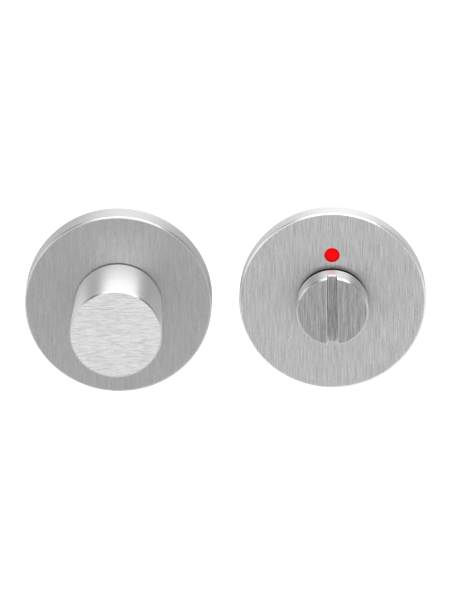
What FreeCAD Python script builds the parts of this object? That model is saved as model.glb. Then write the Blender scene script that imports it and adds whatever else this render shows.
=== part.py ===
import FreeCAD, Part
import math
import os
import re
import Sketcher

# A bathroom thumb turn lock: the thumb turn of the inside of the door and the release with its
# indicator of the outside, side by side with both fronts to the viewer, as they are sold.
# X runs to the right, Z up and -Y out of the door towards the viewer. The backs of both halves
# lie in the door plane y = 0, and the origin is on the thumb turn's axis.
# Each piece is drawn about the axis of its own half, with z as its height out of the door.

# Every size that can be set by itself, in millimetres or degrees, with what it measures
SIZES = [
    ("halves_gap", 7.6, "between the two roses"),
    ("rose_radius", 26.0, "outside of both roses"),
    ("turn_rose_height", 7.0, "thumb turn rose, door to face"),
    ("release_rose_height", 5.5, "release rose, door to face"),
    ("rose_face_wall", 1.0, "thickness of a rose's face"),
    ("rose_rim_wall", 1.3, "thickness of a rose's rim"),
    ("rose_edge_round", 0.6, "round between face and rim"),
    ("rose_hole_chamfer", 0.15, "edge of the centre hole"),
    ("snap_low", 1.1, "lower edge of the snap groove above the door"),
    ("snap_width", 1.6, "width of the snap groove"),
    ("snap_depth", 0.3, "depth of the snap groove"),
    ("snap_bite", 0.15, "how far a snap lug reaches into the groove"),
    ("snap_play", 0.2, "room above and below a snap lug"),
    ("snap_angle", 24.0, "arc of one snap lug"),
    ("snap_count", 3, "snap lugs round a plate"),
    ("plate_gap", 0.15, "mounting plate to rose rim"),
    ("plate_front_gap", 0.1, "mounting plate to the back of the rose face"),
    ("back_pocket_room", 2.6, "round the thrust washer in the plate's back pocket"),
    ("turn_web", 1.8, "web of the thumb turn's plate round its bush"),
    ("release_web", 0.9, "web of the release's plate round its bush"),
    ("centre_recess_room", 2.9, "front recess of the thumb turn's plate, beyond the rose's hole"),
    ("cavity_wall", 1.4, "wall between that recess and the moulded cavities"),
    ("cavity_rim", 1.85, "wall outside the cavities"),
    ("cavity_start", 34.0, "first end of a cavity, from the screw line"),
    ("cavity_arc", 50.0, "arc of one cavity"),
    ("turn_cavity_floor", 1.6, "floor under the front cavities"),
    ("release_cavity_depth", 2.2, "depth of the back cavities"),
    ("fixing_inset", 7.0, "axes of the two fixings inside the rose's edge"),
    ("screw_radius", 2.0, "M4 fixing screw"),
    ("screw_hole_gap", 0.2, "screw in its hole"),
    ("screw_head_drop", 0.8, "screw heads below the back of the rose face"),
    ("screw_reach", 32.0, "screw behind the door plane"),
    ("screw_shank_radius", 1.75, "plain shank under the head"),
    ("screw_shank_reach", 1.0, "that shank behind the door plane"),
    ("screw_tip_chamfer", 0.5, "lead of the screw's end"),
    ("screw_head_radius", 3.9, "pan head"),
    ("screw_head_height", 2.6, "pan head"),
    ("screw_head_round", 0.8, "shoulder of the pan head"),
    ("screw_head_gap", 0.3, "head in its counterbore"),
    ("cross_width", 0.9, "cross recess"),
    ("cross_length", 4.2, "cross recess"),
    ("cross_depth", 1.5, "cross recess"),
    ("sleeve_radius", 3.5, "threaded sleeve"),
    ("sleeve_reach", 20.0, "threaded sleeve behind the door plane"),
    ("sleeve_hole_gap", 0.1, "threaded sleeve in its hole"),
    ("sleeve_head_drop", 0.3, "hexagon heads below the floor of the disc's recess"),
    ("sleeve_head_flats", 8.0, "hexagon head across flats"),
    ("sleeve_head_height", 2.1, "hexagon head"),
    ("sleeve_head_gap", 0.1, "hexagon head in its pocket"),
    ("thread_radius", 1.65, "M4 tapped hole"),
    ("thread_mouth", 0.5, "countersink of the tapped hole"),
    ("journal_radius", 7.5, "shafts that run in the bushes"),
    ("running_gap", 0.05, "shaft in bush, radially"),
    ("end_gap", 0.05, "running faces, along the axis"),
    ("fit_gap", 0.02, "pieces pressed into each other"),
    ("clip_land", 0.1, "straight part of the shafts beyond their circlip groove"),
    ("lead_chamfer", 0.3, "leads of shafts and bores"),
    ("bush_wall", 1.45, "wall of the bushes"),
    ("bush_flange_reach", 1.4, "flange of the bushes beyond their body"),
    ("bush_flange", 0.5, "thickness of that flange"),
    ("thrust_band", 2.7, "width of the thrust washers"),
    ("thrust_thickness", 0.3, "thrust washers"),
    ("washer_bore_gap", 0.2, "washers on their shaft"),
    ("spring_space", 0.4, "room for a wave washer"),
    ("spring_gap", 0.02, "wave washer to its neighbours"),
    ("spring_thickness", 0.2, "wave washers"),
    ("spring_band", 2.4, "width of the wave washers"),
    ("spring_waves", 3, "waves round a wave washer"),
    ("clip_thickness", 0.6, "circlips"),
    ("clip_groove_depth", 0.4, "groove for the circlip"),
    ("clip_groove_play", 0.05, "circlip in its groove"),
    ("clip_band", 2.0, "width of the circlip's band"),
    ("clip_ear_radius", 1.5, "ears of the circlip"),
    ("clip_ear_hole", 0.6, "pliers holes in the ears"),
    ("clip_ear_angle", 13.0, "each ear from the middle of the gap"),
    ("clip_mouth", 1.4, "gap between the ears"),
    ("drive_flange_inset", 1.15, "flange of the drive sleeve inside the knob's edge"),
    ("drive_flange", 3.15, "thickness of that flange"),
    ("nose_length", 6.5, "drive sleeve inside the knob"),
    ("spindle_side", 8.0, "square spindle"),
    ("spindle_gap", 0.05, "spindle in its square holes, each side"),
    ("spindle_reach", 50.0, "spindle behind the door plane"),
    ("spindle_past_grub", 1.5, "spindle beyond the grub screw"),
    ("spindle_chamfer", 0.6, "ends of the spindle"),
    ("pin_radius", 1.0, "cross pin of the spindle"),
    ("pin_rise", 4.0, "cross pin above the back of the knob"),
    ("pin_inset", 0.2, "ends of the cross pin below the nose"),
    ("knob_height", 23.4, "knob above the rose face"),
    ("knob_lift", 0.6, "its back above the rose face"),
    ("knob_base_radius", 12.15, "knob at its back"),
    ("knob_front_radius", 12.78, "knob at its front"),
    ("knob_edge", 0.4, "chamfer of the knob's front"),
    ("knob_overlap", 0.55, "knob over the edge of the rose's hole"),
    ("knob_socket_spare", 2.0, "square socket beyond the spindle"),
    ("grub_radius", 2.5, "M5 grub screw"),
    ("grub_length", 6.0, "grub screw"),
    ("grub_past_nose", 1.1, "grub screw beyond the nose of the drive sleeve"),
    ("grub_key", 2.5, "hexagon key across flats, and its depth"),
    ("head_radius", 10.0, "head of the release turn"),
    ("head_lift", 2.0, "its underside above the rose face"),
    ("head_thickness", 6.5, "head of the release turn"),
    ("head_edge", 0.4, "chamfer of its front"),
    ("head_back_edge", 0.2, "chamfer of its back"),
    ("neck_step", 1.0, "neck of the release turn beyond its journal"),
    ("neck_flat_step", 0.1, "its two flats beyond the journal"),
    ("release_hole_gap", 1.25, "round the neck in the release rose's hole"),
    ("slot_width", 2.8, "coin slot"),
    ("slot_depth", 2.3, "coin slot"),
    ("slot_mouth", 0.2, "chamfers along the slot's mouth"),
    ("slot_floor_round", 0.5, "rounds along the slot's floor"),
    ("socket_roof", 1.65, "metal between slot and spindle socket"),
    ("disc_rim", 0.7, "indicator disc beyond its markers"),
    ("disc_thickness", 0.8, "indicator disc"),
    ("disc_gap", 0.15, "indicator disc to the faces beside it"),
    ("disc_edge_gap", 0.7, "indicator disc in its recess"),
    ("marker_step", 3.85, "markers and window beyond the rose's centre hole"),
    ("marker_radius", 3.2, "coloured markers"),
    ("window_radius", 2.15, "window in the release rose"),
    ("window_land", 0.3, "straight part of the window's wall"),
    ("window_flare", 1.0, "how much wider the window is at its back"),
    ("stop_radius", 0.9, "stop pin"),
    ("stop_inset", 1.0, "stop pin inside the disc's edge"),
    ("stop_foot", 1.2, "stop pin's foot above the door"),
    ("stop_room", 0.3, "stop pin to the floor of the disc's notch"),
    ("stop_gap", 0.1, "stop pin to the ends of the notch"),
    ("travel_angle", 90.0, "turn from locked to open"),
]
ALIASES = {name for name, value, meaning in SIZES}

# Heights and radii that follow from the sizes, in the words of the sheet
HALVES_SPACING = "(2 * rose_radius + halves_gap)"
COVER_BORE = "(rose_radius - rose_rim_wall)"
PLATE_RADIUS = f"({COVER_BORE} - plate_gap)"
FIXING_X = "(rose_radius - fixing_inset)"

BUSH_BORE = "(journal_radius + running_gap)"
BUSH_BODY = f"({BUSH_BORE} + bush_wall)"
BUSH_RIM = f"({BUSH_BODY} + bush_flange_reach)"
THRUST_RIM = "(journal_radius + washer_bore_gap + thrust_band)"
SPRING_RIM = "(journal_radius + washer_bore_gap + spring_band)"
BACK_POCKET = f"({THRUST_RIM} + back_pocket_room)"

TURN_HOLE = "(knob_base_radius - knob_overlap)"
CENTRE_RECESS = f"({TURN_HOLE} + centre_recess_room)"
CAVITY_INNER = f"({CENTRE_RECESS} + cavity_wall)"
CAVITY_OUTER = f"({PLATE_RADIUS} - cavity_rim)"
DRIVE_RIM = "(knob_base_radius - drive_flange_inset)"

TURN_INSIDE = "(turn_rose_height - rose_face_wall)"
SCREW_TOP = f"({TURN_INSIDE} - screw_head_drop)"
SCREW_SEAT = f"({SCREW_TOP} - screw_head_height)"
KNOB_BACK = "(turn_rose_height + knob_lift)"
KNOB_FRONT = "(turn_rose_height + knob_height)"
TURN_BUSH_TOP = f"({KNOB_BACK} - drive_flange - end_gap)"
TURN_WEB_TOP = f"({TURN_BUSH_TOP} - bush_flange)"
TURN_POCKET = f"({TURN_WEB_TOP} - turn_web)"
NOSE_TOP = f"({KNOB_BACK} + nose_length)"
PIN_HEIGHT = f"({KNOB_BACK} + pin_rise)"
GRUB_HEIGHT = f"({NOSE_TOP} + grub_past_nose + grub_radius)"
SPINDLE_FRONT = f"({GRUB_HEIGHT} + grub_radius + spindle_past_grub)"

NECK_RADIUS = "(journal_radius + neck_step)"
NECK_FLATS = "(2 * (journal_radius + neck_flat_step))"
RELEASE_HOLE = f"({NECK_RADIUS} + release_hole_gap)"
MARKER_OFFSET = f"({RELEASE_HOLE} + marker_step)"
DISC_RIM = f"({MARKER_OFFSET} + marker_radius + disc_rim)"
STOP_OFFSET = f"({DISC_RIM} - stop_inset)"
LOCKED_PLACE = (0, MARKER_OFFSET)
OPEN_PLACE = (f"{MARKER_OFFSET} * sin(travel_angle * 1 deg)", f"{MARKER_OFFSET} * cos(travel_angle * 1 deg)")

RELEASE_INSIDE = "(release_rose_height - rose_face_wall)"
DISC_FRONT = f"({RELEASE_INSIDE} - disc_gap)"
DISC_BACK = f"({DISC_FRONT} - disc_thickness)"
RECESS_FLOOR = f"({DISC_BACK} - disc_gap)"
SLEEVE_TOP = f"({RECESS_FLOOR} - sleeve_head_drop)"
SLEEVE_SEAT = f"({SLEEVE_TOP} - sleeve_head_height)"
RELEASE_WEB_TOP = f"({RECESS_FLOOR} - bush_flange)"
RELEASE_POCKET = f"({RELEASE_WEB_TOP} - release_web)"
HEAD_BACK = "(release_rose_height + head_lift)"
HEAD_FRONT = f"({HEAD_BACK} + head_thickness)"
SLOT_FLOOR = f"({HEAD_FRONT} - slot_depth)"
SOCKET_TOP = f"({SLOT_FLOOR} - socket_roof)"

document = FreeCAD.newDocument("BathroomLock")
sheet = document.addObject("Spreadsheet::Sheet", "Sizes")
for row, (name, number, meaning) in enumerate(SIZES, 1):
    sheet.set(f"A{row}", meaning)
    sheet.set(f"B{row}", str(number))
    sheet.setAlias(f"B{row}", name)
document.recompute()

parts = []


def bound(words):
    """The expression that reads these words from the sheet."""
    return re.sub(r"[a-z_]+", lambda word: prefixed(word.group()), str(words))


def prefixed(word):
    """A size's name as an expression reads it, and any other word as it is."""
    return f"Sizes.{word}" if word in ALIASES else word


def value(words):
    """What these words come to now, as a number."""
    return float(sheet.evalExpression(bound(words).replace("Sizes.", "")))


def new_body(name):
    """An empty body, kept as one sub-part."""
    body = document.addObject("PartDesign::Body", name)
    body.Label = name
    parts.append(body)
    return body


def origin_feature(body, role):
    """One of the body's own planes or axes."""
    return next(feature for feature in body.Origin.OriginFeatures if feature.Role == role)


def new_sketch(body, name, plane="XY_Plane", out=0, across=0):
    """A sketch on one of the body's planes, moved out along its normal and across it."""
    sketch = body.newObject("Sketcher::SketchObject", name)
    sketch.AttachmentSupport = (origin_feature(body, plane), [""])
    sketch.MapMode = "FlatFace"
    sketch.setExpression("AttachmentOffset.Base.x", bound(across))
    sketch.setExpression("AttachmentOffset.Base.z", bound(out))
    return sketch


def bind(sketch, constraint, words):
    """Add a constraint and let the sheet drive it."""
    index = sketch.addConstraint(constraint)
    sketch.setExpression(f"Constraints[{index}]", bound(words))


def add_loop(sketch, corners):
    """A closed loop of straight lines through corners that the sheet places."""
    spots = [FreeCAD.Vector(value(across), value(up), 0) for across, up in corners]
    first = sketch.GeometryCount
    for start, end in zip(spots, spots[1:] + spots[:1]):
        sketch.addGeometry(Part.LineSegment(start, end))
    last = sketch.GeometryCount - 1
    for line, spot, (across, up) in zip(range(first, last + 1), spots, corners):
        before = last if line == first else line - 1
        sketch.addConstraint(Sketcher.Constraint("Coincident", before, 2, line, 1))
        bind(sketch, Sketcher.Constraint("DistanceX", -1, 1, line, 1, spot.x), across)
        bind(sketch, Sketcher.Constraint("DistanceY", -1, 1, line, 1, spot.y), up)


def add_rectangle(sketch, left, bottom, right, top):
    """A rectangle between two corners."""
    add_loop(sketch, [(left, bottom), (right, bottom), (right, top), (left, top)])


def add_square(sketch, side):
    """A square about the sketch's origin."""
    half = f"(({side}) / 2)"
    add_rectangle(sketch, f"-{half}", f"-{half}", half, half)


def add_hexagon(sketch, flats):
    """A hexagon about the sketch's origin, with two flats square to its x."""
    half = f"(({flats}) / 2)"
    rise = f"({half} / sqrt(3))"
    corners = [(half, f"-{rise}"), (half, rise), (0, f"2 * {rise}")]
    corners += [(f"-{half}", rise), (f"-{half}", f"-{rise}"), (0, f"-2 * {rise}")]
    add_loop(sketch, corners)


def add_circle(sketch, radius, across=0, up=0):
    """A circle about a point that the sheet places."""
    centre = FreeCAD.Vector(value(across), value(up), 0)
    normal = FreeCAD.Vector(0, 0, 1)
    circle = sketch.addGeometry(Part.Circle(centre, normal, value(radius)))
    bind(sketch, Sketcher.Constraint("Radius", circle, value(radius)), radius)
    bind(sketch, Sketcher.Constraint("DistanceX", -1, 1, circle, 3, centre.x), across)
    bind(sketch, Sketcher.Constraint("DistanceY", -1, 1, circle, 3, centre.y), up)


def arc_about_origin(sketch, radius, start, end):
    """An arc about the sketch's origin whose radius the sheet sets; its angles are in degrees."""
    full = Part.Circle(FreeCAD.Vector(), FreeCAD.Vector(0, 0, 1), value(radius))
    arc = sketch.addGeometry(Part.ArcOfCircle(full, math.radians(start), math.radians(end)))
    sketch.addConstraint(Sketcher.Constraint("Coincident", arc, 3, -1, 1))
    bind(sketch, Sketcher.Constraint("Radius", arc, value(radius)), radius)
    return arc


def polar(radius, degrees):
    """The point at this radius and angle."""
    angle = math.radians(degrees)
    return FreeCAD.Vector(radius * math.cos(angle), radius * math.sin(angle), 0)


def add_sector(sketch, inner, outer, start, end):
    """A piece of a ring between two radii and two angles."""
    low, high = value(start), value(end)
    inner_arc = arc_about_origin(sketch, inner, low, high)
    outer_arc = arc_about_origin(sketch, outer, low, high)
    for spot, angle, degrees in ((1, start, low), (2, end, high)):
        line = Part.LineSegment(polar(value(inner), degrees), polar(value(outer), degrees))
        side = sketch.addGeometry(line)
        sketch.addConstraint(Sketcher.Constraint("Coincident", side, 1, inner_arc, spot))
        sketch.addConstraint(Sketcher.Constraint("Coincident", side, 2, outer_arc, spot))
        sketch.addConstraint(Sketcher.Constraint("PointOnObject", -1, 1, side))
        bind(sketch, Sketcher.Constraint("Angle", side, math.radians(degrees)), angle)


def add_flatted_circle(sketch, radius, flats):
    """A circle about the sketch's origin with two upright flats."""
    half = f"(({flats}) / 2)"
    reach, edge = value(radius), value(half)
    corner = math.degrees(math.acos(edge / reach))
    top = arc_about_origin(sketch, radius, corner, 180 - corner)
    bottom = arc_about_origin(sketch, radius, 180 + corner, 360 - corner)
    for start, upper, finish, lower, sign in ((top, 1, bottom, 2, ""), (top, 2, bottom, 1, "-")):
        across = edge if sign == "" else -edge
        rise = math.sqrt(reach**2 - edge**2)
        line = Part.LineSegment(FreeCAD.Vector(across, rise, 0), FreeCAD.Vector(across, -rise, 0))
        side = sketch.addGeometry(line)
        sketch.addConstraint(Sketcher.Constraint("Coincident", side, 1, start, upper))
        sketch.addConstraint(Sketcher.Constraint("Coincident", side, 2, finish, lower))
        sketch.addConstraint(Sketcher.Constraint("Vertical", side))
        bind(sketch, Sketcher.Constraint("DistanceX", -1, 1, side, 1, across), sign + half)


def turn_profile(body, name, corners, across=0):
    """Turn a profile of radius and height about the z axis, or one beside it."""
    sketch = new_sketch(body, name + "Profile", "XZ_Plane", across=across)
    add_loop(sketch, corners)
    turned = body.newObject("PartDesign::Revolution", name)
    turned.Profile = sketch
    turned.ReferenceAxis = (sketch, ["V_Axis"])
    turned.Angle = 360
    document.recompute()
    return turned


def bore(body, name, corners, across):
    """Cut a profile of radius and height about an axis beside the z axis, along y."""
    volume = body.Shape.Volume
    sketch = new_sketch(body, name + "Profile", "YZ_Plane", across=across)
    add_loop(sketch, corners)
    groove = body.newObject("PartDesign::Groove", name)
    groove.Profile = sketch
    groove.ReferenceAxis = (sketch, ["V_Axis"])
    groove.Angle = 360
    document.recompute()
    if not body.Shape.Volume < volume:
        raise ValueError(f"{body.Label}: {name} cuts nothing")


def pad(body, name, sketch, length, both_ways=False):
    """Raise a sketch along its normal, or both ways from its plane."""
    raised = body.newObject("PartDesign::Pad", name)
    raised.Profile = sketch
    raised.SideType = "Symmetric" if both_ways else "One side"
    raised.setExpression("Length", bound(length))
    document.recompute()
    return raised


def cut(body, name, sketch, length=None, way="out"):
    """Cut a sketch into the body, out along its normal, in against it or both ways."""
    volume = body.Shape.Volume
    pocket = body.newObject("PartDesign::Pocket", name)
    pocket.Profile = sketch
    pocket.SideType = "Symmetric" if way == "both" else "One side"
    pocket.Reversed = way == "out"
    if length is None:
        pocket.Type = "ThroughAll"
    else:
        pocket.setExpression("Length", bound(length))
    document.recompute()
    if not body.Shape.Volume < volume:
        raise ValueError(f"{body.Label}: {name} cuts nothing")
    return pocket


def repeat(body, name, features, count):
    """Repeat features evenly round the z axis."""
    pattern = body.newObject("PartDesign::PolarPattern", name)
    pattern.Originals = features
    pattern.Axis = (origin_feature(body, "Z_Axis"), [""])
    pattern.Angle = 360
    pattern.setExpression("Occurrences", bound(count))
    body.Tip = pattern
    document.recompute()
    return pattern


def repeat_whole(body, name, count):
    """Repeat the whole body evenly round the z axis, as solids of their own."""
    pattern = body.newObject("PartDesign::PolarPattern", name)
    pattern.TransformMode = "Whole shape"
    pattern.Axis = (origin_feature(body, "Z_Axis"), [""])
    pattern.Angle = 360
    pattern.setExpression("Occurrences", bound(count))
    body.Tip = pattern
    document.recompute()


def circles(shape, radius, height):
    """Names of the round edges of this radius about the z direction, at this height."""
    names = []
    for number, edge in enumerate(shape.Edges, 1):
        if not isinstance(edge.Curve, Part.Circle):
            continue
        same_radius = abs(edge.Curve.Radius - value(radius)) < 1e-4
        same_height = abs(edge.Curve.Center.z - value(height)) < 1e-4
        if same_radius and same_height:
            names.append(f"Edge{number}")
    return names


def fillet(body, name, base, edges, radius):
    """Round the named edges."""
    rounded = body.newObject("PartDesign::Fillet", name)
    rounded.Base = (base, edges)
    rounded.setExpression("Radius", bound(radius))
    document.recompute()
    return rounded


def chamfer(body, name, base, edges, size):
    """Chamfer the named edges."""
    bevel = body.newObject("PartDesign::Chamfer", name)
    bevel.Base = (base, edges)
    bevel.setExpression("Size", bound(size))
    document.recompute()
    return bevel


def place(piece, half):
    """Stand a finished piece on the door, on the axis of its half."""
    centre = value(HALVES_SPACING) if half == "release" else 0
    piece.Placement = FreeCAD.Placement(
        FreeCAD.Vector(centre, 0, 0), FreeCAD.Rotation(FreeCAD.Vector(1, 0, 0), 90)
    )
    if half == "release":
        piece.setExpression("Placement.Base.x", bound(HALVES_SPACING))


def rose_cover(half, height, hole_radius):
    """The deep-drawn rose: a round face, a rim down to the door and the snap groove in it."""
    body = new_body(f"{half}_rose_cover")
    groove_wall = f"({COVER_BORE} + snap_depth)"
    corners = [
        (hole_radius, height),
        ("rose_radius", height),
        ("rose_radius", 0),
        (COVER_BORE, 0),
        (COVER_BORE, "snap_low"),
        (groove_wall, "snap_low + snap_depth"),
        (groove_wall, "snap_low + snap_width"),
        (COVER_BORE, "snap_low + snap_width"),
        (COVER_BORE, f"{height} - rose_face_wall"),
        (hole_radius, f"{height} - rose_face_wall"),
    ]
    shell = turn_profile(body, "Shell", corners)
    rim = fillet(body, "FrontEdge", shell, circles(shell.Shape, "rose_radius", height), "rose_edge_round")
    mouth = circles(rim.Shape, hole_radius, height)
    chamfer(body, "HoleEdge", rim, mouth, "rose_hole_chamfer")
    return body


def turn_rose_cover():
    """The thumb turn's rose, open for the knob."""
    body = rose_cover("turn", "turn_rose_height", TURN_HOLE)
    place(body, "turn")


def release_rose_cover():
    """The release's rose, with its window countersunk from behind."""
    body = rose_cover("release", "release_rose_height", RELEASE_HOLE)
    corners = [
        (0, RELEASE_INSIDE),
        ("window_radius + window_flare", RELEASE_INSIDE),
        ("window_radius", "release_rose_height - window_land"),
        ("window_radius", "release_rose_height"),
        (0, "release_rose_height"),
    ]
    bore(body, "Window", corners, MARKER_OFFSET)
    place(body, "release")


def snap_lugs(body):
    """The lugs of a mounting plate that hold the rose by its groove."""
    sketch = new_sketch(body, "LugProfile", "XZ_Plane")
    root = f"({PLATE_RADIUS} - snap_depth)"
    tip = f"({COVER_BORE} + snap_bite)"
    low = "(snap_low + snap_depth + snap_play)"
    high = "(snap_low + snap_width - snap_play)"
    slope = f"({tip} - {root})"
    add_loop(sketch, [(root, f"{high} - {slope}"), (tip, low), (tip, high), (root, high)])
    lug = body.newObject("PartDesign::Revolution", "Lug")
    lug.Profile = sketch
    lug.ReferenceAxis = (sketch, ["V_Axis"])
    lug.Midplane = True
    lug.setExpression("Angle", bound("snap_angle"))
    document.recompute()
    repeat(body, "Lugs", [lug], "snap_count")


def add_cavities(sketch):
    """Two of the moulded cavities, either side of a rib; a pattern makes the other two."""
    first_end = "(cavity_start + cavity_arc)"
    add_sector(sketch, CAVITY_INNER, CAVITY_OUTER, "cavity_start", first_end)
    mirror_end = "(180 - cavity_start)"
    mirror_start = "(180 - cavity_start - cavity_arc)"
    add_sector(sketch, CAVITY_INNER, CAVITY_OUTER, mirror_start, mirror_end)


def turn_mounting_plate():
    """The moulded plate under the thumb turn's rose: bush seat, screw seats and cavities."""
    body = new_body("turn_mounting_plate")
    front = f"({TURN_INSIDE} - plate_front_gap)"
    seat = f"({BUSH_BODY} + fit_gap)"
    corners = [
        (seat, TURN_POCKET),
        (BACK_POCKET, TURN_POCKET),
        (BACK_POCKET, 0),
        (PLATE_RADIUS, 0),
        (PLATE_RADIUS, front),
        (CENTRE_RECESS, front),
        (CENTRE_RECESS, TURN_WEB_TOP),
        (seat, TURN_WEB_TOP),
    ]
    turn_profile(body, "Plate", corners)
    hole_sketch = new_sketch(body, "ScrewHoleProfile")
    add_circle(hole_sketch, "screw_radius + screw_hole_gap", across=FIXING_X)
    hole = cut(body, "ScrewHole", hole_sketch)
    seat_sketch = new_sketch(body, "ScrewSeatProfile", out=SCREW_SEAT)
    add_circle(seat_sketch, "screw_head_radius + screw_head_gap", across=FIXING_X)
    counterbore = cut(body, "ScrewSeat", seat_sketch)
    repeat(body, "ScrewPlaces", [hole, counterbore], 2)
    cavity_sketch = new_sketch(body, "CavityProfile", out="turn_cavity_floor")
    add_cavities(cavity_sketch)
    cavities = cut(body, "Cavities", cavity_sketch)
    repeat(body, "CavityPairs", [cavities], 2)
    snap_lugs(body)
    place(body, "turn")


def release_mounting_plate():
    """The moulded plate under the release's rose, recessed for the indicator disc."""
    body = new_body("release_mounting_plate")
    front = f"({RELEASE_INSIDE} - plate_front_gap)"
    seat = f"({BUSH_BODY} + fit_gap)"
    flange_seat = f"({BUSH_RIM} + fit_gap)"
    disc_recess = f"({DISC_RIM} + disc_edge_gap)"
    corners = [
        (seat, RELEASE_POCKET),
        (BACK_POCKET, RELEASE_POCKET),
        (BACK_POCKET, 0),
        (PLATE_RADIUS, 0),
        (PLATE_RADIUS, front),
        (disc_recess, front),
        (disc_recess, RECESS_FLOOR),
        (flange_seat, RECESS_FLOOR),
        (flange_seat, RELEASE_WEB_TOP),
        (seat, RELEASE_WEB_TOP),
    ]
    turn_profile(body, "Plate", corners)
    hole_sketch = new_sketch(body, "SleeveHoleProfile")
    add_circle(hole_sketch, "sleeve_radius + sleeve_hole_gap", across=FIXING_X)
    hole = cut(body, "SleeveHole", hole_sketch)
    seat_sketch = new_sketch(body, "SleeveSeatProfile", out=SLEEVE_SEAT, across=FIXING_X)
    add_hexagon(seat_sketch, "sleeve_head_flats + 2 * sleeve_head_gap")
    pocket = cut(body, "SleeveSeat", seat_sketch)
    repeat(body, "SleevePlaces", [hole, pocket], 2)
    cavity_sketch = new_sketch(body, "CavityProfile")
    add_cavities(cavity_sketch)
    cavities = cut(body, "Cavities", cavity_sketch, "release_cavity_depth")
    repeat(body, "CavityPairs", [cavities], 2)
    pin_sketch = new_sketch(body, "StopHoleProfile", out="stop_foot")
    add_circle(pin_sketch, "stop_radius + fit_gap", up=f"-{STOP_OFFSET}")
    cut(body, "StopHole", pin_sketch)
    snap_lugs(body)
    place(body, "release")


def bearing_bush(half, bottom, web_top):
    """The flanged bush that a shaft runs in, pressed into the plate's web."""
    body = new_body(f"{half}_bearing_bush")
    top = f"({web_top} + bush_flange)"
    corners = [
        (BUSH_BORE, bottom),
        (BUSH_BODY, bottom),
        (BUSH_BODY, web_top),
        (BUSH_RIM, web_top),
        (BUSH_RIM, top),
        (f"{BUSH_BORE} + lead_chamfer", top),
        (BUSH_BORE, f"{top} - lead_chamfer"),
    ]
    turn_profile(body, "Bush", corners)
    place(body, half)


def clip_floor(pocket):
    """The height of a circlip's underside, below its washers."""
    return f"({pocket} - end_gap - thrust_thickness - spring_space - clip_thickness)"


def journal_end(pocket):
    """The height of a shaft's back end."""
    return f"({clip_floor(pocket)} - clip_groove_play - clip_land - lead_chamfer)"


def journal_corners(pocket):
    """The back end of a shaft, from its axis up to its circlip groove."""
    end = journal_end(pocket)
    groove = "(journal_radius - clip_groove_depth)"
    groove_low = f"({clip_floor(pocket)} - clip_groove_play)"
    groove_high = f"({clip_floor(pocket)} + clip_thickness + clip_groove_play)"
    return [
        (0, end),
        ("journal_radius - lead_chamfer", end),
        ("journal_radius", f"{end} + lead_chamfer"),
        ("journal_radius", groove_low),
        (groove, groove_low),
        (groove, groove_high),
        ("journal_radius", groove_high),
    ]


def drive_sleeve():
    """The sleeve that runs in the bush and carries the knob, pierced for spindle and pin."""
    body = new_body("drive_sleeve")
    flange_back = f"({TURN_BUSH_TOP} + end_gap)"
    corners = journal_corners(TURN_POCKET) + [
        ("journal_radius", flange_back),
        (DRIVE_RIM, flange_back),
        (DRIVE_RIM, KNOB_BACK),
        ("journal_radius", KNOB_BACK),
        ("journal_radius", f"{NOSE_TOP} - lead_chamfer"),
        ("journal_radius - lead_chamfer", NOSE_TOP),
        (0, NOSE_TOP),
    ]
    turn_profile(body, "Sleeve", corners)
    square = new_sketch(body, "SquareProfile", out=journal_end(TURN_POCKET))
    add_square(square, "spindle_side + 2 * spindle_gap")
    cut(body, "SquareHole", square)
    hole = new_sketch(body, "PinHoleProfile", "YZ_Plane")
    add_circle(hole, "pin_radius + fit_gap", up=PIN_HEIGHT)
    cut(body, "PinHole", hole, "2 * journal_radius", "both")
    place(body, "turn")


def square_spindle():
    """The square bar that drives the lock and the release, drilled for its cross pin."""
    body = new_body("square_spindle")
    section = new_sketch(body, "SectionProfile", out="-spindle_reach")
    add_square(section, "spindle_side")
    bar = pad(body, "Bar", section, f"spindle_reach + {SPINDLE_FRONT}")
    ends = (-value("spindle_reach"), value(SPINDLE_FRONT))
    rims = []
    for number, edge in enumerate(bar.Shape.Edges, 1):
        heights = [vertex.Point.z for vertex in edge.Vertexes]
        if any(max(abs(height - end) for height in heights) < 1e-4 for end in ends):
            rims.append(f"Edge{number}")
    chamfer(body, "Ends", bar, rims, "spindle_chamfer")
    hole = new_sketch(body, "PinHoleProfile", "YZ_Plane")
    add_circle(hole, "pin_radius + fit_gap", up=PIN_HEIGHT)
    cut(body, "PinHole", hole, "2 * spindle_side", "both")
    place(body, "turn")


def spindle_pin():
    """The cross pin that holds the spindle in the drive sleeve."""
    body = new_body("spindle_pin")
    section = new_sketch(body, "SectionProfile", "YZ_Plane")
    add_circle(section, "pin_radius", up=PIN_HEIGHT)
    pad(body, "Pin", section, "2 * (journal_radius - pin_inset)", both_ways=True)
    place(body, "turn")


def thumb_knob():
    """The flared knob, bored for the sleeve's nose, the spindle and the grub screw."""
    body = new_body("thumb_knob")
    bore = "(journal_radius + spindle_gap)"
    bore_top = f"({NOSE_TOP} + end_gap)"
    corners = [
        (0, bore_top),
        (bore, bore_top),
        (bore, f"{KNOB_BACK} + lead_chamfer"),
        (f"{bore} + lead_chamfer", KNOB_BACK),
        ("knob_base_radius", KNOB_BACK),
        ("knob_front_radius", f"{KNOB_FRONT} - knob_edge"),
        ("knob_front_radius - knob_edge", KNOB_FRONT),
        (0, KNOB_FRONT),
    ]
    turn_profile(body, "Knob", corners)
    square = new_sketch(body, "SocketProfile", out=KNOB_BACK)
    add_square(square, "spindle_side + 2 * spindle_gap")
    cut(body, "Socket", square, f"{SPINDLE_FRONT} + knob_socket_spare - {KNOB_BACK}")
    thread = new_sketch(body, "GrubHoleProfile", "XZ_Plane")
    add_circle(thread, "grub_radius + fit_gap", up=GRUB_HEIGHT)
    cut(body, "GrubHole", thread)
    place(body, "turn")


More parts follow.
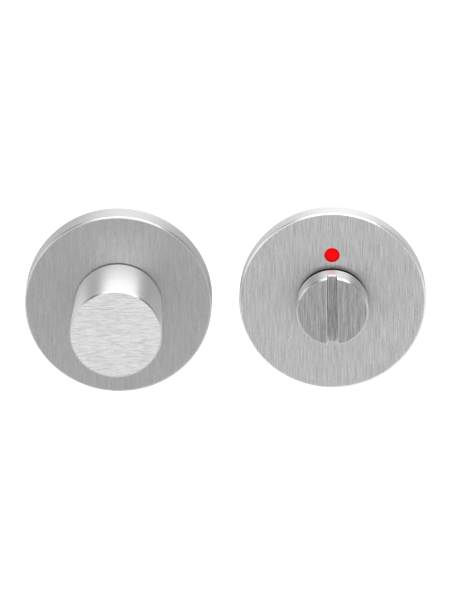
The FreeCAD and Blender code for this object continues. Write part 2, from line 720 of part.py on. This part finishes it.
def knob_grub_screw():
    """The grub screw that clamps the knob on the spindle, from below."""
    body = new_body("knob_grub_screw")
    seat = "(spindle_side / 2 + fit_gap)"
    section = new_sketch(body, "SectionProfile", "XZ_Plane", out=seat)
    add_circle(section, "grub_radius", up=GRUB_HEIGHT)
    pad(body, "Screw", section, "grub_length")
    key = new_sketch(body, "KeyProfile", "XZ_Plane", out=f"{seat} + grub_length")
    key.setExpression("AttachmentOffset.Base.y", bound(GRUB_HEIGHT))
    add_hexagon(key, "grub_key")
    cut(body, "Key", key, "grub_key", "in")
    place(body, "turn")


def fixing_screws():
    """The two pan-head screws that pass through door and lock into the threaded sleeves."""
    body = new_body("fixing_screws")
    corners = [
        (0, "-screw_reach"),
        ("screw_radius - screw_tip_chamfer", "-screw_reach"),
        ("screw_radius", "screw_tip_chamfer - screw_reach"),
        ("screw_radius", "screw_shank_radius - screw_radius - screw_shank_reach"),
        ("screw_shank_radius", "-screw_shank_reach"),
        ("screw_shank_radius", SCREW_SEAT),
        ("screw_head_radius", SCREW_SEAT),
        ("screw_head_radius", SCREW_TOP),
        (0, SCREW_TOP),
    ]
    screw = turn_profile(body, "Screw", corners, across=FIXING_X)
    shoulder = circles(screw.Shape, "screw_head_radius", SCREW_TOP)
    fillet(body, "HeadRound", screw, shoulder, "screw_head_round")
    sketch = new_sketch(body, "CrossProfile", out=SCREW_TOP, across=FIXING_X)
    arm, half = "(cross_length / 2)", "(cross_width / 2)"
    quarter = [(arm, f"-{half}"), (arm, half), (half, half), (half, arm), (f"-{half}", arm)]
    opposite = [(f"-{half}", half), (f"-{arm}", half), (f"-{arm}", f"-{half}")]
    foot = [(f"-{half}", f"-{half}"), (f"-{half}", f"-{arm}"), (half, f"-{arm}"), (half, f"-{half}")]
    add_loop(sketch, quarter + opposite + foot)
    cut(body, "Cross", sketch, "cross_depth", "in")
    repeat_whole(body, "Pair", 2)
    place(body, "turn")


def threaded_sleeves():
    """The two tapped sleeves with hexagon heads that the fixing screws go into."""
    body = new_body("threaded_sleeves")
    corners = [
        ("thread_radius", "thread_mouth - sleeve_reach"),
        ("thread_radius + thread_mouth", "-sleeve_reach"),
        ("sleeve_radius - lead_chamfer", "-sleeve_reach"),
        ("sleeve_radius", "lead_chamfer - sleeve_reach"),
        ("sleeve_radius", SLEEVE_TOP),
        ("thread_radius", SLEEVE_TOP),
    ]
    turn_profile(body, "Sleeve", corners, across=FIXING_X)
    sketch = new_sketch(body, "HeadProfile", out=SLEEVE_SEAT, across=FIXING_X)
    add_hexagon(sketch, "sleeve_head_flats")
    add_circle(sketch, "(thread_radius + sleeve_radius) / 2")
    pad(body, "Head", sketch, "sleeve_head_height")
    repeat_whole(body, "Pair", 2)
    place(body, "release")


def thrust_washer(half, pocket):
    """The flat washer between the plate's web and the wave washer."""
    body = new_body(f"{half}_thrust_washer")
    sketch = new_sketch(body, "WasherProfile", out=f"{pocket} - end_gap - thrust_thickness")
    add_circle(sketch, THRUST_RIM)
    add_circle(sketch, "journal_radius + washer_bore_gap")
    pad(body, "Washer", sketch, "thrust_thickness")
    place(body, half)


def wave_edge(radius, middle, swing, waves):
    """One closed edge of a wave washer, which rises and falls as it goes round."""
    steps = 8 * waves
    points = []
    for step in range(steps):
        turn = 360 * step / steps
        point = polar(radius, turn)
        point.z = middle + swing * math.sin(math.radians(waves * turn))
        points.append(point)
    curve = Part.BSplineCurve()
    curve.interpolate(points, PeriodicFlag=True)
    return curve.toShape()


def wave_washer(half, pocket):
    """The wave washer that takes the play out of a shaft: a thin ring bent into waves."""
    thickness = value("spring_thickness")
    floor = value(f"{pocket} - end_gap - thrust_thickness - spring_space + spring_gap")
    swing = (value("spring_space - 2 * spring_gap") - thickness) / 2
    inner = value("journal_radius + washer_bore_gap")
    outer = value(SPRING_RIM)
    waves = int(value("spring_waves"))
    low = [wave_edge(radius, floor + swing, swing, waves) for radius in (inner, outer)]
    high = [edge.translated(FreeCAD.Vector(0, 0, thickness)) for edge in low]
    rims = [(low[0], low[1]), (high[0], high[1]), (low[0], high[0]), (low[1], high[1])]
    faces = [Part.makeRuledSurface(first, second) for first, second in rims]
    shell = Part.makeShell(faces)
    shell.sewShape()
    solid = Part.makeSolid(shell)
    piece = document.addObject("Part::Feature", f"{half}_wave_washer")
    piece.Label = f"{half}_wave_washer"
    piece.Shape = solid if solid.Volume > 0 else solid.reversed()
    parts.append(piece)
    place(piece, half)


def circlip(half, pocket):
    """The retaining ring in the shaft's groove, with two pierced ears for the pliers."""
    body = new_body(f"{half}_circlip")
    floor = clip_floor(pocket)
    bore = "(journal_radius - clip_groove_depth + fit_gap)"
    ear_ring = f"({bore} + clip_band)"
    ear_x = f"({ear_ring} * sin(clip_ear_angle * 1 deg))"
    ear_y = f"({ear_ring} * cos(clip_ear_angle * 1 deg))"
    band_sketch = new_sketch(body, "BandProfile", out=floor)
    add_circle(band_sketch, ear_ring)
    add_circle(band_sketch, bore)
    pad(body, "Band", band_sketch, "clip_thickness")
    for side, sign in (("Right", ""), ("Left", "-")):
        ear_sketch = new_sketch(body, f"{side}EarProfile", out=floor)
        add_circle(ear_sketch, "clip_ear_radius", across=sign + ear_x, up=ear_y)
        pad(body, f"{side}Ear", ear_sketch, "clip_thickness")
    hole_sketch = new_sketch(body, "EarHoleProfile", out=floor)
    for sign in ("", "-"):
        add_circle(hole_sketch, "clip_ear_hole", across=sign + ear_x, up=ear_y)
    cut(body, "EarHoles", hole_sketch)
    mouth_sketch = new_sketch(body, "MouthProfile", out=floor)
    half_mouth = "(clip_mouth / 2)"
    add_rectangle(mouth_sketch, f"-{half_mouth}", 0, half_mouth, f"{ear_ring} + 2 * clip_ear_radius")
    cut(body, "Mouth", mouth_sketch)
    place(body, half)


def release_turn():
    """The release turn: slotted head, flatted neck, journal and blind square socket."""
    body = new_body("release_turn")
    shoulder = f"({RECESS_FLOOR} + end_gap)"
    corners = journal_corners(RELEASE_POCKET) + [
        ("journal_radius", HEAD_BACK),
        ("head_radius - head_back_edge", HEAD_BACK),
        ("head_radius", f"{HEAD_BACK} + head_back_edge"),
        ("head_radius", f"{HEAD_FRONT} - head_edge"),
        ("head_radius - head_edge", HEAD_FRONT),
        (0, HEAD_FRONT),
    ]
    turn_profile(body, "Turn", corners)
    neck_sketch = new_sketch(body, "NeckProfile", out=shoulder)
    add_flatted_circle(neck_sketch, NECK_RADIUS, NECK_FLATS)
    pad(body, "Neck", neck_sketch, f"{HEAD_BACK} - {shoulder}")
    end = journal_end(RELEASE_POCKET)
    square = new_sketch(body, "SocketProfile", out=end)
    add_square(square, "spindle_side + 2 * spindle_gap")
    cut(body, "Socket", square, f"{SOCKET_TOP} - {end}")
    coin_slot(body)
    place(body, "release")


def coin_slot(body):
    """The slot across the head, with eased mouth and rounded floor."""
    sketch = new_sketch(body, "SlotProfile", "XZ_Plane")
    wall = "(slot_width / 2)"
    lip = "(slot_width / 2 + slot_mouth)"
    corners = [
        (f"-{lip}", HEAD_FRONT),
        (f"-{wall}", f"{HEAD_FRONT} - slot_mouth"),
        (f"-{wall}", SLOT_FLOOR),
        (wall, SLOT_FLOOR),
        (wall, f"{HEAD_FRONT} - slot_mouth"),
        (lip, HEAD_FRONT),
    ]
    add_loop(sketch, corners)
    slot = cut(body, "Slot", sketch, "2 * head_radius + 2 * head_edge", "both")
    corner, floor = value(wall), value(SLOT_FLOOR)
    foot = []
    for number, edge in enumerate(slot.Shape.Edges, 1):
        ends = [vertex.Point for vertex in edge.Vertexes]
        if all(abs(abs(end.x) - corner) < 1e-4 and abs(end.z - floor) < 1e-4 for end in ends):
            foot.append(f"Edge{number}")
    fillet(body, "SlotFloor", slot, foot, "slot_floor_round")


def indicator_disc():
    """The disc behind the window, driven by the neck's flats, with its stop notch."""
    body = new_body("indicator_disc")
    blank = new_sketch(body, "BlankProfile", out=DISC_BACK)
    add_circle(blank, DISC_RIM)
    pad(body, "Blank", blank, "disc_thickness")
    drive = new_sketch(body, "DriveProfile", out=DISC_BACK)
    add_flatted_circle(drive, f"{NECK_RADIUS} + spindle_gap", f"{NECK_FLATS} + 2 * spindle_gap")
    cut(body, "Drive", drive)
    seats = new_sketch(body, "MarkerSeatProfile", out=DISC_BACK)
    for across, up in (LOCKED_PLACE, OPEN_PLACE):
        add_circle(seats, "marker_radius + fit_gap", across=across, up=up)
    cut(body, "MarkerSeats", seats)
    notch = new_sketch(body, "NotchProfile", out=DISC_BACK)
    spare = f"(asin((stop_radius + stop_gap) / {STOP_OFFSET}) / 1 deg)"
    start = f"(270 - travel_angle - {spare})"
    end = f"(270 + {spare})"
    floor = f"({STOP_OFFSET} - stop_radius - stop_room)"
    add_sector(notch, floor, f"({DISC_RIM} + stop_room)", start, end)
    cut(body, "Notch", notch)
    place(body, "release")


def marker(name, spot):
    """A coloured marker set flush in the indicator disc."""
    body = new_body(name)
    across, up = spot
    sketch = new_sketch(body, "MarkerProfile", out=DISC_BACK)
    add_circle(sketch, "marker_radius", across=across, up=up)
    pad(body, "Marker", sketch, "disc_thickness")
    place(body, "release")


def stop_pin():
    """The pin in the plate that stops the disc at locked and at open."""
    body = new_body("stop_pin")
    sketch = new_sketch(body, "PinProfile", out="stop_foot")
    add_circle(sketch, "stop_radius", up=f"-{STOP_OFFSET}")
    pad(body, "Pin", sketch, f"{DISC_FRONT} - stop_foot")
    place(body, "release")


turn_rose_cover()
turn_mounting_plate()
bearing_bush("turn", TURN_POCKET, TURN_WEB_TOP)
drive_sleeve()
thrust_washer("turn", TURN_POCKET)
wave_washer("turn", TURN_POCKET)
circlip("turn", TURN_POCKET)
square_spindle()
spindle_pin()
thumb_knob()
knob_grub_screw()
fixing_screws()

release_rose_cover()
release_mounting_plate()
bearing_bush("release", RELEASE_POCKET, RELEASE_WEB_TOP)
release_turn()
indicator_disc()
marker("red_marker", LOCKED_PLACE)
marker("green_marker", OPEN_PLACE)
thrust_washer("release", RELEASE_POCKET)
wave_washer("release", RELEASE_POCKET)
circlip("release", RELEASE_POCKET)
threaded_sleeves()
stop_pin()

document.recompute()
for thing in document.Objects:
    if "Invalid" in thing.State or "Error" in thing.State:
        raise ValueError(f"{thing.Label} did not compute")
for piece in parts:
    if piece.Shape.isNull() or not piece.Shape.isValid():
        raise ValueError(f"{piece.Label} has no valid shape")

os.makedirs("parts", exist_ok=True)
for piece in parts:
    piece.Shape.exportStep(f"parts/{piece.Label}.step")
    print(f"{piece.Label}: {len(piece.Shape.Solids)} solid, {piece.Shape.Volume:.1f} mm3")
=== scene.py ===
import math

import bpy
from mathutils import Matrix, Vector

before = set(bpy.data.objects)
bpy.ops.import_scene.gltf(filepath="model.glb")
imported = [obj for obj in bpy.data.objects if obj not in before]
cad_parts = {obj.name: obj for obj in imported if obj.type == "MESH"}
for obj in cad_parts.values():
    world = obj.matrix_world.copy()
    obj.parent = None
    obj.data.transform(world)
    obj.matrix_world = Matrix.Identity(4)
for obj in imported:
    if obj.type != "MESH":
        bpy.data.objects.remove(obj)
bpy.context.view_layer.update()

# The photograph is 450 by 600 pixels, and its scale was measured at the roses
FRAME_HEIGHT = 600
PIXELS_PER_METRE = 3584
CAMERA_TARGET = Vector((0.02955, 0.0, -0.0015))
CAMERA_DISTANCE = 2.2
CAMERA_AZIMUTH = 1.36
CAMERA_ELEVATION = 20.62
CAMERA_ROLL = -0.92
CAMERA_CLIP = (0.1, 20)
SENSOR_MM = 36

WHITE = (1, 1, 1, 1)

# The floor lies well below the set; its front edge is near, so that the fronts see past it
FLOOR_HEIGHT = -0.15
FLOOR_SIZE = 6.0
FLOOR_FRONT = -0.2
FLOOR_PAINT = (0.7, 0.7, 0.7, 1)
FLOOR_GLOW = 0.4

# The studio round the set, by the angle in degrees about the y axis: 0 straight up, 90 to the
# right. A bright box hangs overhead, with a dark card on each side of it.
STUDIO_RING = [
    (-180, 0.8),
    (-125, 0.75),
    (-95, 0.9),
    (-66, 1.05),
    (-54, 0.45),
    (-38, 0.2),
    (-14, 1.85),
    (35, 1.88),
    (44, 0.3),
    (60, 0.3),
    (82, 0.55),
    (102, 0.9),
    (125, 0.95),
    (150, 0.85),
    (180, 0.8),
]
RING_TOP = 2.0
# In front of the set the light grows from the low to the high level between two heights
FRONT_HEIGHTS = (-0.15, 0.3)
FRONT_LEVELS = (0.62, 1.5)
FRONT_FADE = (-0.97, -0.7)
# Behind the set
BACKDROP = 1.0
BACKDROP_FADE = (0.75, 0.93)

# Brushing: lines per metre across and along the grain, and how strongly they show
SHORT_GRAIN = [(6000, 220, 0.95), (6000, 900, 0.65), (1000, 60, 0.08)]
LONG_GRAIN = [(6000, 160, 1.7), (6000, 900, 0.7), (1200, 40, 0.1)]
KNOB_GRAIN = [(7000, 340, 2.3), (6600, 1100, 1.0), (1000, 90, 0.25)]
SNIB_GRAIN = [(5800, 180, 2.2), (5800, 900, 0.8), (900, 60, 0.3)]
TURNED_GRAIN = [(2600, 22, 0.8), (900, 15, 0.5)]
TURNED_SHARE = 0.6
MARKS_IN_ROUGHNESS = 0.12
BRUSHED_BUMP = 0.3
MARK_DEPTH = 0.00002

# Brushed pieces by how far a surface looks forward: where the face takes over from the side,
# and where the edge between them begins and ends
FACE_BEGINS = (0.75, 0.95)
EDGE_BEGINS = (0.3, 0.5)
EDGE_ENDS = (0.93, 0.98)
# The last finishing pass leaves the edges smoother
EDGE_ROUGHNESS = 0.28

# Corners and edges are found by ambient occlusion: painted shade goes into the inner corners,
# and a painted highlight onto the outer edges
OCCLUSION_SAMPLES = 8
STEEL_PAINTED_SHADE = {"reach": 0.004, "own": True, "low": 0.24, "high": 0.56, "least": 0.2}
PLASTIC_PAINTED_SHADE = {"reach": 0.0012, "own": False, "low": 0.35, "high": 0.8, "least": 0.3}
OUTER_EDGE_REACH = 0.00035
OUTER_EDGE_RANGE = (0.5, 0.9)

# Most of a noise lies in this range
NOISE_RANGE = (0.3, 0.7)

# Plated and oxidised metal
CLOUD_PER_METRE = 400.0
METAL_ROUGHNESS_SPREAD = 0.03
METAL_BUMP = 0.08

# Moulded plastic
PORES_PER_METRE = 5000.0
PORE_DEPTH = 0.00003
PORE_BUMP = 0.3
TONES_PER_METRE = 250.0
TONE_RANGE = (0.9, 1.06)
PLASTIC_ROUGHNESS_SPREAD = 0.05
# A part with a painted glow shines less
GLOWING_SPECULAR = 0.15


class Nodes:
    """A short way to add shader nodes to one node tree."""

    def __init__(self, tree):
        self.tree = tree
        tree.nodes.clear()

    def add(self, kind, settings=None, **inputs):
        """A new node with its settings, and its inputs set or linked by name, or i and number."""
        made = self.tree.nodes.new(kind)
        for name, setting in (settings or {}).items():
            setattr(made, name, setting)
        for name, given in inputs.items():
            numbered = name[0] == "i" and name[1:].isdigit()
            self.feed(made.inputs[int(name[1:]) if numbered else name.replace("_", " ")], given)
        return made

    def feed(self, socket, given):
        """Link an output to a socket, or set the socket's value."""
        if isinstance(given, bpy.types.NodeSocket):
            self.tree.links.new(given, socket)
        else:
            socket.default_value = given

    def math(self, operation, first, second=0.0, clamp=False):
        """The result of one sum."""
        settings = {"operation": operation, "use_clamp": clamp}
        return self.add("ShaderNodeMath", settings, i0=first, i1=second).outputs[0]

    def blend(self, share, first, second):
        """One number going over into another."""
        settings = {"data_type": "FLOAT", "clamp_factor": True}
        return self.add("ShaderNodeMix", settings, i0=share, i2=first, i3=second).outputs[0]

    def smooth(self, given, low, high, start=0.0, end=1.0):
        """A smooth step from start to end as the given value goes from low to high."""
        settings = {"interpolation_type": "SMOOTHSTEP"}
        inputs = {"i0": given, "i1": low, "i2": high, "i3": start, "i4": end}
        return self.add("ShaderNodeMapRange", settings, **inputs).outputs[0]

    def tinted(self, color, shade):
        """A colour made lighter or darker."""
        settings = {"operation": "SCALE"}
        return self.add("ShaderNodeVectorMath", settings, i0=Vector(color), i3=shade).outputs[0]

    def seen(self, path):
        """1 for what the camera sees, also through a clear piece, and 0 for all other rays."""
        return self.math("MAXIMUM", path["Is Camera Ray"], path["Is Transmission Ray"])


def new_material(name):
    """A material, and its node tree, still empty."""
    material = bpy.data.materials.new(name)
    material.use_nodes = True
    return material, Nodes(material.node_tree)


def make_camera():
    """The photograph's camera: a long lens from above, a little to the right."""
    azimuth, elevation = math.radians(CAMERA_AZIMUTH), math.radians(CAMERA_ELEVATION)
    back = Vector((
        math.sin(azimuth) * math.cos(elevation),
        -math.cos(azimuth) * math.cos(elevation),
        math.sin(elevation),
    ))
    data = bpy.data.cameras.new("camera")
    data.sensor_width = SENSOR_MM
    data.lens = SENSOR_MM * CAMERA_DISTANCE / (FRAME_HEIGHT / PIXELS_PER_METRE)
    data.clip_start, data.clip_end = CAMERA_CLIP
    camera = bpy.data.objects.new("camera", data)
    bpy.context.scene.collection.objects.link(camera)
    camera.rotation_mode = "QUATERNION"
    camera.location = CAMERA_TARGET + back * CAMERA_DISTANCE
    aim = (-back).to_track_quat("-Z", "Y")
    roll = Matrix.Rotation(math.radians(CAMERA_ROLL), 4, "Z").to_quaternion()
    camera.rotation_quaternion = aim @ roll
    bpy.context.scene.camera = camera


def make_world():
    """A soft white studio: a long box overhead, dark cards on both sides of it, white behind."""
    world = bpy.data.worlds.new("studio")
    bpy.context.scene.world = world
    world.use_nodes = True
    nodes = Nodes(world.node_tree)
    direction = nodes.add("ShaderNodeTexCoord").outputs["Generated"]
    x, y, z = nodes.add("ShaderNodeSeparateXYZ", i0=direction).outputs
    turn = nodes.math("DIVIDE", nodes.math("ARCTAN2", x, z), 2 * math.pi)
    ramp = nodes.add("ShaderNodeValToRGB", Fac=nodes.math("ADD", turn, 0.5))
    ramp.color_ramp.interpolation = "EASE"
    stops = ramp.color_ramp.elements
    while len(stops) < len(STUDIO_RING):
        stops.new(0.5)
    for stop, (angle, level) in zip(stops, STUDIO_RING):
        stop.position = angle / 360 + 0.5
        stop.color = (level / RING_TOP, level / RING_TOP, level / RING_TOP, 1)
    ring = nodes.math("MULTIPLY", ramp.outputs["Color"], RING_TOP)
    front_level = nodes.smooth(z, *FRONT_HEIGHTS, *FRONT_LEVELS)
    in_front = nodes.smooth(y, *FRONT_FADE, 1.0, 0.0)
    behind = nodes.smooth(y, *BACKDROP_FADE)
    level = nodes.blend(in_front, ring, front_level)
    level = nodes.blend(behind, level, BACKDROP)
    path = nodes.add("ShaderNodeLightPath").outputs
    seen = nodes.seen(path)
    mirrored = nodes.math("MULTIPLY", path["Is Glossy Ray"], behind)
    seen = nodes.math("MAXIMUM", seen, mirrored)
    strength = nodes.blend(seen, level, 1.0)
    light = nodes.add("ShaderNodeBackground", Color=WHITE, Strength=strength)
    nodes.add("ShaderNodeOutputWorld", Surface=light.outputs[0])


def make_floor():
    """A pale floor well below the set, with a glow that makes it white to the camera."""
    place = (0, FLOOR_FRONT + FLOOR_SIZE / 2, FLOOR_HEIGHT)
    bpy.ops.mesh.primitive_plane_add(size=FLOOR_SIZE, location=place)
    floor = bpy.context.object
    floor.name = "floor"
    material, nodes = new_material("floor_white")
    seen = nodes.seen(nodes.add("ShaderNodeLightPath").outputs)
    paint = nodes.add("ShaderNodeBsdfDiffuse", Color=FLOOR_PAINT).outputs[0]
    glow = nodes.add("ShaderNodeEmission", Color=WHITE, Strength=FLOOR_GLOW).outputs[0]
    bright = nodes.add("ShaderNodeAddShader", i0=paint, i1=glow).outputs[0]
    mixed = nodes.add("ShaderNodeMixShader", Fac=seen, i1=paint, i2=bright).outputs[0]
    nodes.add("ShaderNodeOutputMaterial", Surface=mixed)
    floor.data.materials.append(material)


def object_axis(nodes, axis):
    """One of the node's own axes, in the world's space, so that it turns with the piece."""
    settings = {"vector_type": "VECTOR", "convert_from": "OBJECT", "convert_to": "WORLD"}
    return nodes.add("ShaderNodeVectorTransform", settings, i0=Vector(axis)).outputs[0]


def grain(direction, lines):
    """Noise scales along x, y and z for lines that run upright, across or round the y axis."""
    layers = []
    for across, along, weight in lines:
        if direction == "upright":
            layers.append(((across, along, along), weight))
        elif direction == "across":
            layers.append(((along, along, across), weight))
        else:
            layers.append(((along, across, along), weight))
    return layers


def streaks(nodes, place, layers, name):
    """Brushing lines: layers of noise that is short across the grain and long along it."""
    total = None
    for stretch, weight in layers:
        settings = {"vector_type": "POINT"}
        mapped = nodes.add("ShaderNodeMapping", settings, i0=place, i3=Vector(stretch))
        inputs = {"Vector": mapped.outputs[0], "Scale": 1.0, "Detail": 1.0, "Roughness": 0.5}
        noise = nodes.add("ShaderNodeTexNoise", {"label": name}, **inputs).outputs["Fac"]
        share = nodes.math("MULTIPLY", nodes.math("SUBTRACT", noise, 0.5), weight)
        total = share if total is None else nodes.math("ADD", total, share)
    return total


def painted_corner_shade(nodes, reach, own, low, high, least):
    """Painted shade in inner corners, as the share of the light that is left there."""
    settings = {"samples": OCCLUSION_SAMPLES, "only_local": own}
    corners = nodes.add("ShaderNodeAmbientOcclusion", settings, Distance=reach)
    return nodes.smooth(corners.outputs["AO"], low, high, least, 1.0)


def outer_edge(nodes, reach):
    """The share of outer edge: 0 on the flats of a piece, 1 where two of its faces meet."""
    settings = {"samples": OCCLUSION_SAMPLES, "only_local": True, "inside": True}
    flats = nodes.add("ShaderNodeAmbientOcclusion", settings, Distance=reach)
    return nodes.smooth(flats.outputs["AO"], *OUTER_EDGE_RANGE, 1.0, 0.0)


def brushed_steel(name, face, lines, lit_greys, contrast, roughness, anisotropy, painted_edge_highlight=0.0):
    """Satin steel: a face brushed upright or across, and sides turned round the y axis.

    The grey of the face, the sides and the edges is painted lighter or darker for how the light
    falls on each, over the steel's own grey; the roughness is that of face and sides.
    The last argument is the painted edge highlight: how much brighter the sharpest edges get.
    """
    material, nodes = new_material(name)
    coordinates = nodes.add("ShaderNodeTexCoord").outputs
    place = coordinates["Object"]
    parts = nodes.add("ShaderNodeSeparateXYZ", i0=coordinates["Normal"])
    forward = nodes.math("ABSOLUTE", parts.outputs[1])
    facing = nodes.smooth(forward, *FACE_BEGINS)
    edge = nodes.smooth(forward, *EDGE_ENDS, 1.0, 0.0)
    edge = nodes.math("MULTIPLY", nodes.smooth(forward, *EDGE_BEGINS), edge)
    face_lines = streaks(nodes, place, grain(face, lines), "face brushing")
    side_lines = streaks(nodes, place, grain("round", TURNED_GRAIN), "turned side")
    marks = nodes.blend(facing, nodes.math("MULTIPLY", side_lines, TURNED_SHARE), face_lines)
    # Painted light: face, sides and edges are made lighter or darker for how the light falls on
    # each
    tone = nodes.blend(edge, nodes.blend(facing, lit_greys[1], lit_greys[0]), lit_greys[2])
    # Painted shade: the steel is darkened in its own inner corners, such as the slot's
    tone = nodes.math("MULTIPLY", tone, painted_corner_shade(nodes, **STEEL_PAINTED_SHADE))
    # Painted highlight: the sharpest outer edges are painted brighter
    if painted_edge_highlight:
        edge_highlight_share = nodes.math("MULTIPLY", outer_edge(nodes, OUTER_EDGE_REACH), painted_edge_highlight)
        tone = nodes.math("MULTIPLY", tone, nodes.math("ADD", edge_highlight_share, 1.0), clamp=True)
    lighter = nodes.math("ADD", nodes.math("MULTIPLY", marks, contrast), 1.0)
    tinted = nodes.math("MULTIPLY", tone, lighter)
    even = nodes.blend(facing, roughness[1], roughness[0])
    even = nodes.blend(edge, even, EDGE_ROUGHNESS)
    rough = nodes.math("SUBTRACT", even, nodes.math("MULTIPLY", marks, MARKS_IN_ROUGHNESS))
    relief = {"Strength": BRUSHED_BUMP, "Distance": MARK_DEPTH, "Height": marks}
    bump = nodes.add("ShaderNodeBump", **relief).outputs[0]
    across = object_axis(nodes, (1, 0, 0) if face == "upright" else (0, 0, 1))
    axial = object_axis(nodes, (0, 1, 0))
    settings = {"data_type": "VECTOR"}
    tangent = nodes.add("ShaderNodeMix", settings, i0=facing, i4=axial, i5=across).outputs[1]
    shader = nodes.add(
        "ShaderNodeBsdfPrincipled",
        Base_Color=tinted,
        Metallic=1.0,
        Roughness=rough,
        Anisotropic=anisotropy,
        Normal=bump,
        Tangent=tangent,
    )
    nodes.add("ShaderNodeOutputMaterial", Surface=shader.outputs[0])
    return material


def plain_metal(name, color, roughness, lines=0.05):
    """Plated or oxidised steel of the hidden fittings, with faint turning marks."""
    material, nodes = new_material(name)
    place = nodes.add("ShaderNodeTexCoord").outputs["Object"]
    marks = streaks(nodes, place, grain("round", TURNED_GRAIN), "turning marks")
    turned = nodes.math("ADD", marks, 0.5)
    inputs = {"Vector": place, "Scale": CLOUD_PER_METRE, "Detail": 4.0}
    cloud = nodes.add("ShaderNodeTexNoise", **inputs).outputs["Fac"]
    halves = nodes.math("MULTIPLY", turned, 0.5), nodes.math("MULTIPLY", cloud, 0.5)
    mixed = nodes.math("ADD", *halves)
    shade = nodes.smooth(mixed, *NOISE_RANGE, 1 - 2 * lines, 1 + lines)
    tinted = nodes.tinted(color, shade)
    smoothest, roughest = roughness - METAL_ROUGHNESS_SPREAD, roughness + METAL_ROUGHNESS_SPREAD
    rough = nodes.smooth(mixed, *NOISE_RANGE, smoothest, roughest)
    relief = {"Strength": METAL_BUMP, "Distance": MARK_DEPTH, "Height": turned}
    bump = nodes.add("ShaderNodeBump", **relief).outputs[0]
    look = {"Base_Color": tinted, "Metallic": 1.0, "Roughness": rough, "Normal": bump}
    shader = nodes.add("ShaderNodeBsdfPrincipled", **look)
    nodes.add("ShaderNodeOutputMaterial", Surface=shader.outputs[0])
    return material


def moulded_plastic(name, color, roughness, glow=0.0):
    """Moulded plastic: fine spark-eroded texture, faint changes of tone, painted shade and glow."""
    material, nodes = new_material(name)
    place = nodes.add("ShaderNodeTexCoord").outputs["Object"]
    inputs = {"Vector": place, "Scale": PORES_PER_METRE, "Detail": 2.0}
    pores = nodes.add("ShaderNodeTexNoise", **inputs).outputs["Fac"]
    inputs = {"Vector": place, "Scale": TONES_PER_METRE, "Detail": 3.0}
    cloud = nodes.add("ShaderNodeTexNoise", **inputs).outputs["Fac"]
    tones = nodes.smooth(cloud, *NOISE_RANGE, *TONE_RANGE)
    # Painted shade: the plastic is darkened near walls and in corners, as at the red marker's edge
    shade = nodes.math("MULTIPLY", tones, painted_corner_shade(nodes, **PLASTIC_PAINTED_SHADE))
    tinted = nodes.tinted(color, shade)
    smoothest, roughest = roughness - PLASTIC_ROUGHNESS_SPREAD, roughness + PLASTIC_ROUGHNESS_SPREAD
    rough = nodes.smooth(pores, *NOISE_RANGE, smoothest, roughest)
    relief = {"Strength": PORE_BUMP, "Distance": PORE_DEPTH, "Height": pores}
    bump = nodes.add("ShaderNodeBump", **relief).outputs[0]
    look = {"Base_Color": tinted, "Roughness": rough, "Normal": bump}
    shader = nodes.add("ShaderNodeBsdfPrincipled", **look)
    # Painted light: the part glows in its own colour, though no lamp is in it
    if glow:
        shader.inputs["Emission Color"].default_value = (*color, 1)
        shader.inputs["Emission Strength"].default_value = glow
        shader.inputs["Specular IOR Level"].default_value = GLOWING_SPECULAR
    nodes.add("ShaderNodeOutputMaterial", Surface=shader.outputs[0])
    return material


def make_steels():
    """The four brushed pieces: copies of one steel, each painted lighter or darker for its light.
    """
    turn_rose = brushed_steel(
        "turn_rose_steel",
        "upright",
        SHORT_GRAIN,
        lit_greys=(0.535, 0.57, 0.68),
        contrast=0.5,
        roughness=(0.42, 0.6),
        anisotropy=0.5,
    )
    release_rose = brushed_steel(
        "release_rose_steel",
        "upright",
        LONG_GRAIN,
        lit_greys=(0.665, 0.69, 1.0),
        contrast=0.6,
        roughness=(0.44, 0.7),
        anisotropy=0.5,
    )
    knob = brushed_steel(
        "knob_steel",
        "across",
        KNOB_GRAIN,
        lit_greys=(0.83, 0.8, 0.66),
        contrast=0.5,
        roughness=(0.36, 0.38),
        anisotropy=0.85,
    )
    release = brushed_steel(
        "release_steel",
        "upright",
        SNIB_GRAIN,
        lit_greys=(0.52, 0.68, 0.72),
        contrast=0.6,
        roughness=(0.3, 0.4),
        anisotropy=0.93,
        # The snib's sharpest edges get a painted highlight
        painted_edge_highlight=2.2,
    )
    return {
        turn_rose: ["turn_rose_cover"],
        release_rose: ["release_rose_cover"],
        knob: ["thumb_knob"],
        release: ["release_turn"],
    }


def make_fittings():
    """The other pieces, by what they are made of."""
    zinc = plain_metal("zinc_plated_steel", (0.43, 0.45, 0.47), 0.4, lines=0.03)
    spring = plain_metal("phosphated_steel", (0.2, 0.2, 0.21), 0.4)
    black = plain_metal("black_oxide_steel", (0.07, 0.07, 0.07), 0.42)
    nylon = moulded_plastic("black_nylon", (0.03, 0.03, 0.032), 0.5)
    natural = moulded_plastic("natural_acetal", (0.8, 0.79, 0.74), 0.38)
    disc = moulded_plastic("disc_black", (0.03, 0.03, 0.03), 0.5)
    # The red marker's glow is painted light, to make its red as bright as a fully lit one
    red = moulded_plastic("signal_red", (1.0, 0.0, 0.003), 0.75, glow=0.22)
    green = moulded_plastic("signal_green", (0.02, 0.42, 0.08), 0.6)
    return {
        zinc: [
            "drive_sleeve",
            "turn_thrust_washer",
            "square_spindle",
            "fixing_screws",
            "release_thrust_washer",
            "threaded_sleeves",
            "stop_pin",
        ],
        spring: [
            "turn_wave_washer",
            "turn_circlip",
            "spindle_pin",
            "release_wave_washer",
            "release_circlip",
        ],
        black: ["knob_grub_screw"],
        nylon: ["turn_mounting_plate", "release_mounting_plate"],
        natural: ["turn_bearing_bush", "release_bearing_bush"],
        disc: ["indicator_disc"],
        red: ["red_marker"],
        green: ["green_marker"],
    }


def dress():
    """Give every CAD node its material."""
    looks = {**make_steels(), **make_fittings()}
    for material, names in looks.items():
        for name in names:
            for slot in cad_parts[name].material_slots:
                slot.material = material


bpy.context.scene.view_settings.view_transform = "Standard"
make_camera()
make_world()
make_floor()
dress()
